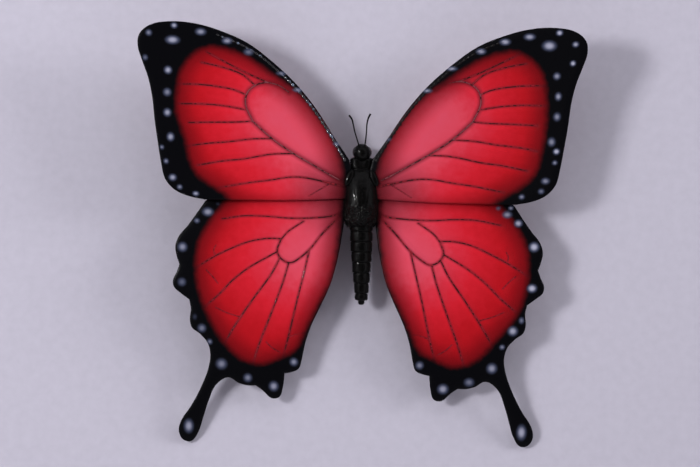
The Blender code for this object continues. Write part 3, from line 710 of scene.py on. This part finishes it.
def ball(centre, radii, segments=32, rings=20, turned=0.0):
    """A ball scaled to its three radii, its poles fore and aft, turned about the upright axis."""
    bm = bmesh.new()
    bmesh.ops.create_uvsphere(bm, u_segments=segments, v_segments=rings, radius=1.0)
    bmesh.ops.rotate(bm, verts=bm.verts, matrix=Matrix.Rotation(math.pi / 2, 3, "X"))
    bmesh.ops.scale(bm, verts=bm.verts, vec=radii)
    bmesh.ops.rotate(bm, verts=bm.verts, matrix=Matrix.Rotation(turned, 3, "Z"))
    bmesh.ops.translate(bm, verts=bm.verts, vec=centre)
    return bm


def join(bm, other):
    """Adds another mesh to this one."""
    mesh = bpy.data.meshes.new("part")
    other.to_mesh(mesh)
    other.free()
    bm.from_mesh(mesh)
    bpy.data.meshes.remove(mesh)


def ridge(value, width):
    """1 on a line and 0 a width away from it."""
    return max(0.0, 1 - abs(value) / width) ** 2


def grow_hairs(bm, count, length, chooses):
    """Short stiff hairs on the chosen faces, leaning back. Each is a three-sided cone."""
    # in order of their places, because the operators don't leave the faces in the same order every run
    faces = sorted(filter(chooses, bm.faces), key=lambda f: sorted(v.co[:] for v in f.verts))
    chosen = [(f.calc_center_median(), f.normal.copy()) for f in faces]
    across, up = HAIR_ASTRAY
    for _ in range(count):
        root, out = draw.choice(chosen)
        lean = Vector((draw.uniform(-across, across), -HAIR_BACK, draw.uniform(-up, up)))
        way = (out * HAIR_OUT + lean).normalized()
        tall = length * draw.uniform(*HAIR_LENGTHS)
        scatter = Vector([draw.uniform(-HAIR_SCATTER, HAIR_SCATTER) for _ in range(3)])
        place = Matrix.Translation(root + scatter + way * tall * HAIR_MIDDLE)
        size = {"segments": 3, "radius1": HAIR_RADIUS, "radius2": HAIR_TIP, "depth": tall}
        turn = way.to_track_quat("Z", "Y").to_matrix().to_4x4()
        bmesh.ops.create_cone(bm, cap_ends=True, **size, matrix=place @ turn)


def black_chitin(name, lump, strength, roughness):
    """Hard black shell: a satin ground that drinks the light, under a thin polish with small glints."""
    finish = {"Specular_IOR_Level": 0.04, "Coat_Weight": 0.14, "Coat_Roughness": 0.05}
    made, tree, shader = new_material(name, **finish)
    place = add_node(tree, "TexCoord").outputs["Object"]
    grain = add_node(tree, "TexNoise", {"Vector": place}, Scale=1 / (lump * MM), Detail=4.0, Roughness=0.6)
    tone = add_node(tree, "MapRange", {"Value": grain.outputs["Fac"]}, i1=0.4, i2=0.7, i3=0.0, i4=1.0)
    colour = add_node(tree, "Mix", {0: tone.outputs[0]}, data_type="RGBA", i6=SHELL_BLACK, i7=SHELL_BROWN)
    tree.links.new(colour.outputs[2], shader.inputs["Base Color"])
    ends = {"i3": roughness, "i4": roughness + SHELL_DULLER}
    dull = add_node(tree, "MapRange", {"Value": grain.outputs["Fac"]}, i1=0.3, i2=0.7, **ends)
    tree.links.new(dull.outputs[0], shader.inputs["Roughness"])
    rough = add_node(tree, "Attribute", attribute_name="rough").outputs["Fac"]
    push = add_node(tree, "MapRange", {"Value": rough}, i1=0.0, i2=1.0, i3=strength, i4=1.0)
    lumps = add_node(tree, "TexNoise", {"Vector": place}, Scale=1 / (lump * MM), Detail=1.0)
    relief = {"Height": lumps.outputs["Fac"], "Strength": push.outputs[0]}
    bump = add_node(tree, "Bump", relief, Distance=SHELL_RELIEF * MM)
    tree.links.new(bump.outputs["Normal"], shader.inputs["Normal"])
    tree.links.new(bump.outputs["Normal"], shader.inputs["Coat Normal"])
    return made


def on_sides(face):
    """Whether a face is on the case's sides."""
    return abs(face.normal.y) < 0.9 and face.normal.z < 0.55 and face.calc_center_median().z > SEAT_LEVEL


bm = spindle(THORAX_PROFILE, steps=128, between=8)
roughness = bm.verts.layers.float.new("rough")
for vert in bm.verts:
    x, y, z = place = vert.co.copy()
    out = Vector((x, 0, z)).normalized()
    top = max(out.z, 0.0)
    behind = soft(y, *SEAM_REAR)
    middle_seam = ridge(x, SEAM_WIDTH) * behind * soft(MIDDLE_SEAM_FRONT - y, 0, 1.0)
    apart = abs(x) - SIDE_SEAM_OUT[0] - SIDE_SEAM_OUT[1] * (y - SIDE_SEAM_OUT[2])
    side_seams = ridge(apart, SEAM_WIDTH) * behind * soft(SIDE_SEAM_FRONT - y, 0, 1.0)
    cross_seam = CROSS_SEAM[3] * ridge(y - CROSS_SEAM[0] - CROSS_SEAM[1] * x * x, CROSS_SEAM[2])
    plate = max(0.0, 1 - ((y - PLATE_PLACE[0]) / PLATE_PLACE[2]) ** 2 - (x / PLATE_PLACE[1]) ** 2)
    rough = max(soft(-y, *ROUGH_REAR), soft(1 - top, *ROUGH_SIDES)) * (1 - PLATE_SMOOTH * plate)
    vert[roughness] = rough
    lumpy = LUMPS_IN_FRONT + (1 - LUMPS_IN_FRONT) * rough
    lumps = LUMP_RISE * noise.noise(place / LUMP_SIZE) * lumpy
    to_pimple = noise.voronoi(place / PIMPLE_SIZE)[0][0]
    pimples = PIMPLE_RISE * max(0.0, PIMPLE_RADIUS - to_pimple) ** 1.5 * rough
    seams = SEAM_DEPTH * top**2 * (middle_seam + side_seams + cross_seam)
    fall = DOME_FALL * abs(z) * top * ((y - DOME_TOP) / DOME_REACH) ** 2
    vert.co += out * (PLATE_RISE * top**2 * plate**0.5 + lumps + pimples * PIMPLE_SIZE - seams - fall)
bmesh.ops.translate(bm, verts=bm.verts, vec=(BODY_MIDDLE, 0, BODY_HEIGHT))
everything = [*bm.verts, *bm.edges, *bm.faces]
under = Vector((0, 0, UNDERSIDE_HEIGHT))
cut = bmesh.ops.bisect_plane(bm, geom=everything, plane_co=under, plane_no=(0, 0, -1), clear_outer=True)
rim_edges = [e for e in cut["geom_cut"] if isinstance(e, bmesh.types.BMEdge)]
bmesh.ops.contextual_create(bm, geom=rim_edges)
for side in (1, -1):
    centre = (BODY_MIDDLE + side * FLAP_PLACE[0], *FLAP_PLACE[1:])
    join(bm, ball(centre, FLAP_RADII, turned=side * FLAP_TURN))
bm.normal_update()
grow_hairs(bm, *THORAX_HAIRS, on_sides)
shell = black_chitin("glossy black chitin", lump=0.5, strength=0.04, roughness=0.3)
add_piece("thorax_case", bm, [shell], "thorax")

# Abdomen. A soft tapering tube in hard black rings, each tucked under the one in front of it, which
# gives the sides their steps. It droops a little and bends to the right.
ABDOMEN_START = -4.6
ABDOMEN_END = -23.1
ABDOMEN_HEIGHT = 5.4
ABDOMEN_RADIUS = 2.5
ABDOMEN_DROOP = 1.5
ABDOMEN_BEND = 0.4
ABDOMEN_RINGS = 8
ABDOMEN_TAPER = 0.62
TAPER_START = 0.12
# each ring's edge tucks under the ring before it: share of its length, and how far it stands proud
RING_SHAPE = (
    (0.0, -0.26), (0.07, -0.1), (0.25, -0.02), (0.6, 0.03), (0.86, 0.05), (0.95, -0.01), (0.985, -0.14),
)
GROOVE_LEVEL = -0.35  # the groove along each side: its place round the tube, width and depth
GROOVE_WIDTH = 0.22
GROOVE_DEPTH = 0.16
RING_LUMP_SIZES = (0.5, 1.4)
RING_LUMP_RISE = 0.05
ABDOMEN_HAIRS = (500, 0.45)
TIP_GAP = 0.1  # the rings end this far ahead of the tip
ABDOMEN_TIP = ((-22.35, 1.0), (-22.45, 0.74), (-22.9, 0.68), (-23.25, 0.45), (-23.35, 0.0))

abdomen_length = ABDOMEN_START - ABDOMEN_END
profile = [(ABDOMEN_START, 0.0)]
for ring in range(ABDOMEN_RINGS):
    for step, proud in RING_SHAPE:
        share = (ring + step) / ABDOMEN_RINGS
        radius = ABDOMEN_RADIUS * (1 - ABDOMEN_TAPER * max(share - TAPER_START, 0) ** 1.5)
        profile.append((ABDOMEN_START - share * abdomen_length, radius + proud))
profile = [station for station in profile if station[0] > ABDOMEN_TIP[0][0] + TIP_GAP]
bm = spindle([*profile, *ABDOMEN_TIP], steps=80, between=2)
for vert in bm.verts:
    x, y, z = place = vert.co.copy()
    share = max(ABDOMEN_START - y, 0) / abdomen_length
    out = Vector((x, 0, z)).normalized()
    # where the upper and lower halves of the rings meet
    side_groove = ridge(out.z - GROOVE_LEVEL, GROOVE_WIDTH) * GROOVE_DEPTH
    fine, broad = [RING_LUMP_RISE * noise.noise(place / size) for size in RING_LUMP_SIZES]
    vert.co += out * (fine + broad - side_groove)
    vert.co.z += ABDOMEN_HEIGHT - ABDOMEN_DROOP * share**1.5
    vert.co.x += BODY_MIDDLE + ABDOMEN_BEND * share**0.6
bm.normal_update()
grow_hairs(bm, *ABDOMEN_HAIRS, lambda f: abs(f.normal.y) < 0.8 and f.normal.z < 0.3)
ring_shell = black_chitin("ringed black chitin", lump=0.45, strength=0.1, roughness=0.3)
add_piece("abdomen_rings", bm, [ring_shell], "abdomen")

# Head. A small round black case, thinly haired behind, between two domed eyes. An eye is a clear hard
# skin over hundreds of dark facets.
HEAD_CENTRE = (BODY_MIDDLE, 10.5, 5.8)
HEAD_RADII = (1.93, 2.03, 1.98)
HEAD_LUMP_SIZE = 0.6
HEAD_LUMP_RISE = 0.04  # as a share of the radius
HEAD_HAIRS = (260, 0.45)
EYE_OUT = 1.2
EYE_CENTRE = (10.7, 5.6)
EYE_RADII = (0.95, 1.25, 1.35)
FACET_SIZE = 0.12  # drawn about four times coarser than real ones, which would not show
FACET_RELIEF = 0.03
FACET_BROWN = "16110F"
FACET_BLACK = "050404"

bm = ball(HEAD_CENTRE, HEAD_RADII, segments=48, rings=32)
for vert in bm.verts:
    vert.co += (vert.co - Vector(HEAD_CENTRE)) * HEAD_LUMP_RISE * noise.noise(vert.co / HEAD_LUMP_SIZE)
bm.normal_update()
grow_hairs(bm, *HEAD_HAIRS, lambda f: f.normal.y < 0.2)
add_piece("head_case", bm, [shell], "head")

# the clear skin gives the eye its one sharp glint, and the facets break up what lies under it
skin = {"Roughness": 0.12, "Coat_Weight": 0.5, "Coat_Roughness": 0.08}
eye_finish, tree, shader = new_material("faceted black eye", **skin)
place = add_node(tree, "TexCoord").outputs["Object"]
facets = add_node(tree, "TexVoronoi", {"Vector": place}, Scale=1 / (FACET_SIZE * MM), Randomness=0.4)
tone = add_node(tree, "MapRange", {"Value": facets.outputs["Distance"]}, i1=0.0, i2=0.6, i3=0.0, i4=1.0)
colour = add_node(tree, "Mix", {0: tone.outputs[0]}, data_type="RGBA", i6=FACET_BROWN, i7=FACET_BLACK)
tree.links.new(colour.outputs[2], shader.inputs["Base Color"])
domes = {"Height": facets.outputs["Distance"]}
bump = add_node(tree, "Bump", domes, Strength=0.3, Distance=FACET_RELIEF * MM, invert=True)
tree.links.new(bump.outputs["Normal"], shader.inputs["Normal"])
for side, word in ((1, "right"), (-1, "left")):
    bm = ball((BODY_MIDDLE + side * EYE_OUT, *EYE_CENTRE), EYE_RADII, segments=40, rings=26)
    add_piece(f"{word}_eye", bm, [eye_finish], f"eye_{word}")

# Antennae. Each is a thin ringed feeler of black shell that thickens to a club at its end. It is rooted
# in the crown of the head.
ANTENNAE = {
    "left": (
        (-0.35, 11.8, 6.9), (-0.95, 13.7, 7.9), (-1.4, 15.1, 8.4),
        (-1.8, 16.8, 8.8), (-2.15, 18.0, 9.0), (-2.75, 18.8, 9.1),
    ),
    "right": (
        (0.85, 12.0, 6.9), (1.1, 14.0, 7.9), (1.2, 15.6, 8.4),
        (1.25, 16.9, 8.8), (1.5, 18.1, 9.0), (2.0, 19.2, 9.1),
    ),
}
ANTENNA_RADII = (0.19, 0.15, 0.15, 0.16, 0.2, 0.24)
ANTENNA_STEPS = 16
ANTENNA_RING = 4  # every fourth point is pinched, which rings the feeler
ANTENNA_PINCH = 0.82
limb_shell = black_chitin("satin black chitin", lump=0.2, strength=0.06, roughness=0.35)
for word, route in ANTENNAE.items():
    line = smooth_arc(route, ANTENNA_STEPS)
    shares = np.linspace(0, len(ANTENNA_RADII) - 1, len(line))
    radii = np.interp(shares, range(len(ANTENNA_RADII)), ANTENNA_RADII)
    radii *= np.where(np.arange(len(line)) % ANTENNA_RING == 0, ANTENNA_PINCH, 1.0)
    bm = bmesh.new()
    add_cord(bm, line, radii, sides=10)
    add_piece(f"{word}_antenna", bm, [limb_shell], f"antenna_{word}")

# Drinking tube. A fine ringed tube of black shell, wound up under the head like a watch spring and
# rooted there by its outer end.
COIL_CENTRE = (BODY_MIDDLE, 11.1, 2.75)
COIL_TURNS = 2.25
COIL_OUTER = 1.05
COIL_INNER = 0.3
COIL_RADIUS = 0.16
COIL_STEPS = 48
COIL_TAPER = 0.7
COIL_RING = 3  # every third point is pinched
COIL_PINCH = 0.9
count = round(COIL_TURNS * COIL_STEPS)
points = []
for i in range(count + 1):
    angle = math.pi / 2 - math.tau * i / COIL_STEPS
    reach = COIL_OUTER + (COIL_INNER - COIL_OUTER) * i / count
    middle = Vector(COIL_CENTRE)
    points.append(middle + Vector((0, reach * math.cos(angle), reach * math.sin(angle))))
bm = bmesh.new()
taper = np.linspace(COIL_RADIUS, COIL_RADIUS * COIL_TAPER, count + 1)
rings = np.where(np.arange(count + 1) % COIL_RING == 0, COIL_PINCH, 1.0)
add_cord(bm, points, taper * rings, sides=10)
add_piece("coiled_tongue", bm, [limb_shell], "proboscis")

# Legs. Each has a stout thigh, a thin shin with short spines, and a jointed foot that lies along the
# ground. All six are hard and black and root under the thorax.
LEGS = {  # hip, knee, ankle and toe
    "fore": ((2.1, 4.4, 2.9), (4.9, 6.4, 3.9), (6.6, 8.2, 0.75), (8.4, 10.0, 0.2)),
    "mid": ((2.3, 0.9, 2.5), (6.4, 1.4, 4.3), (9.2, 0.6, 0.75), (12.0, -0.4, 0.2)),
    "hind": ((2.1, -2.6, 2.9), (5.8, -5.4, 4.2), (7.6, -10.2, 0.75), (8.6, -13.4, 0.2)),
}
HIP_RADIUS = 0.58
THIGH_RADIUS = 0.44
SHIN_RADIUS = 0.31
FOOT_RADIUS = 0.24
FOOT_JOINTS = 5
FOOT_TAPER = 0.03
SPINES = 14
SPINE_LENGTH = 0.5
SPINE_RADII = (0.035, 0.008)
SPINE_TURN = 2.4  # each spine stands this angle further round the shin than the one before
SPINE_DROP = 0.9

for place_word, joints in LEGS.items():
    for side, word in ((1, "right"), (-1, "left")):
        hip, knee, ankle, toe = [Vector((BODY_MIDDLE + side * x, y, z)) for x, y, z in joints]
        inside_body = hip.lerp(Vector((BODY_MIDDLE, hip.y, BODY_HEIGHT)), 0.3)
        heel = ankle.lerp(toe, 0.12)
        heel.z = FOOT_RADIUS
        tip = toe.copy()
        tip.z = FOOT_RADIUS * 0.8
        stations = [
            (inside_body, HIP_RADIUS),
            (hip, HIP_RADIUS),
            (hip.lerp(knee, 0.2), THIGH_RADIUS * 0.8),
            (hip.lerp(knee, 0.5), THIGH_RADIUS),
            (hip.lerp(knee, 0.85), THIGH_RADIUS * 0.85),
            (knee, SHIN_RADIUS * 0.9),
            (knee.lerp(ankle, 0.3), SHIN_RADIUS),
            (knee.lerp(ankle, 0.85), SHIN_RADIUS * 0.75),
            (heel, FOOT_RADIUS * 0.9),
        ]
        for joint in range(1, FOOT_JOINTS + 1):
            share = joint / FOOT_JOINTS
            stations.append((heel.lerp(tip, share - 0.12), FOOT_RADIUS * (0.95 - FOOT_TAPER * joint)))
            stations.append((heel.lerp(tip, share), FOOT_RADIUS * (0.7 - FOOT_TAPER * joint)))
        bm = bmesh.new()
        line = smooth_arc([p for p, _ in stations], 3)
        shares = np.linspace(0, len(stations) - 1, len(line))
        radii = np.interp(shares, range(len(stations)), [r for _, r in stations])
        for point, radius in zip(line, radii):
            point.z = max(point.z, radius)
        add_cord(bm, line, radii, sides=12)
        for spine in range(SPINES):
            at = knee.lerp(ankle, 0.1 + 0.06 * spine)
            around = spine * SPINE_TURN
            way = Vector((math.cos(around), math.sin(around), -SPINE_DROP)).normalized()
            add_cord(bm, [at, at + way * SPINE_LENGTH], SPINE_RADII, sides=4)
        add_piece(f"{word}_{place_word}_leg", bm, [limb_shell], f"{place_word}_leg_{word}")


# Floor, light and camera: the photograph's view from straight above, on a plain pale floor. The light
# comes from the butterfly's left at 45 degrees and low from its right, with much soft light all round.
FLOOR_SIZE = 3.0
FLOOR_GREY = "B3AFBD"
FLOOR_PALER = "B8B4C2"
FLOOR_TOOTH = 2.0  # the card's tooth is finer than this, and would not show
IMAGE_WIDTH = 700
PIXELS_PER_MM = 4.5
LEAN = math.radians(1.0)  # the butterfly leans this much clockwise in the picture
VIEW_MIDDLE = Vector((-2.09 * MM, MEETING_LINE - 7.48 * MM))
VIEW_DISTANCE = 2.0
WING_LEVEL = 9.0 * MM
STUDIO_WHITE = "F2F0F8"

bm = bmesh.new()
bmesh.ops.create_grid(bm, x_segments=1, y_segments=1, size=FLOOR_SIZE / 2)
floor_mesh = bpy.data.meshes.new("floor")
bm.to_mesh(floor_mesh)
bm.free()
# matt card takes soft shadows and shows no lamp
floor_paper, tree, shader = new_material("matt lilac grey card", Roughness=0.9)
place = add_node(tree, "TexCoord").outputs["Object"]
tooth = add_node(tree, "TexNoise", {"Vector": place}, Scale=1 / (FLOOR_TOOTH * MM), Detail=3.0)
tone = add_node(tree, "MapRange", {"Value": tooth.outputs["Fac"]}, i1=0.3, i2=0.7, i3=0.0, i4=1.0)
colour = add_node(tree, "Mix", {0: tone.outputs[0]}, data_type="RGBA", i6=FLOOR_GREY, i7=FLOOR_PALER)
tree.links.new(colour.outputs[2], shader.inputs["Base Color"])
floor_mesh.materials.append(floor_paper)
floor = bpy.data.objects.new("floor", floor_mesh)
bpy.context.scene.collection.objects.link(floor)


def add_light(name, towards, distance_away, size, power):
    """A square soft light that looks at the butterfly from the given direction."""
    lamp = bpy.data.lights.new(name, "AREA")
    lamp.size = size
    lamp.energy = power
    holder = bpy.data.objects.new(name, lamp)
    bpy.context.scene.collection.objects.link(holder)
    holder.location = Vector(towards).normalized() * distance_away
    holder.rotation_euler = (-holder.location).to_track_quat("-Z", "Y").to_euler()
    return holder


# each lamp's direction, and its distance and size in metres and power in watts
KEY_WAY = (-0.69, 0.19, 0.7)
for word, towards, distance_away, size, power in (
    ("key_light", KEY_WAY, 0.75, 0.158, 3.54),
    ("low_light", (0.93, 0.24, 0.28), 2.0, 0.6, 33.0),
    ("top_light", (0.1, 0.78, 0.62), 0.45, 0.35, 0.38),
):
    # such large lights would mirror as grey patches in the polished body
    add_light(word, towards, distance_away, size, power).visible_glossy = False
# so a small bright lamp in front of the key light gives the polish its glints
add_light("glint_light", KEY_WAY, 0.7, 0.05, 4.0).visible_diffuse = False
surround = bpy.data.worlds.new("studio")
surround.use_nodes = True
sky = surround.node_tree.nodes["Background"]
sky.inputs["Color"].default_value = from_hex(STUDIO_WHITE)
# the light comes from a broad ring above the walls: the ceiling is dark, so that the flat wings mirror
# nothing bright, and so are the walls, so that they don't bleach the wings in a low view
tree = surround.node_tree
height = add_node(tree, "SeparateXYZ", {0: add_node(tree, "TexCoord").outputs["Generated"]}).outputs["Z"]
below = add_node(tree, "MapRange", {"Value": height}, **SMOOTH, i1=0.25, i2=0.5, i3=0.25, i4=1.0)
above = add_node(tree, "MapRange", {"Value": height}, **SMOOTH, i1=0.6, i2=0.88, i3=0.95, i4=0.02)
ring = add_node(tree, "Math", {0: below.outputs[0], 1: above.outputs[0]}, operation="MULTIPLY")
tree.links.new(ring.outputs[0], sky.inputs["Strength"])
bpy.context.scene.world = surround

lens = bpy.data.cameras.new("camera")
lens.sensor_width = 36.0
lens.lens = lens.sensor_width * (VIEW_DISTANCE - WING_LEVEL) / (IMAGE_WIDTH / PIXELS_PER_MM * MM)
lens.clip_end = 10.0
camera = bpy.data.objects.new("camera", lens)
camera.location = (*VIEW_MIDDLE, VIEW_DISTANCE)
camera.rotation_euler = (0, 0, LEAN)
bpy.context.scene.collection.objects.link(camera)
bpy.context.scene.camera = camera
bpy.context.scene.view_settings.view_transform = "Standard"
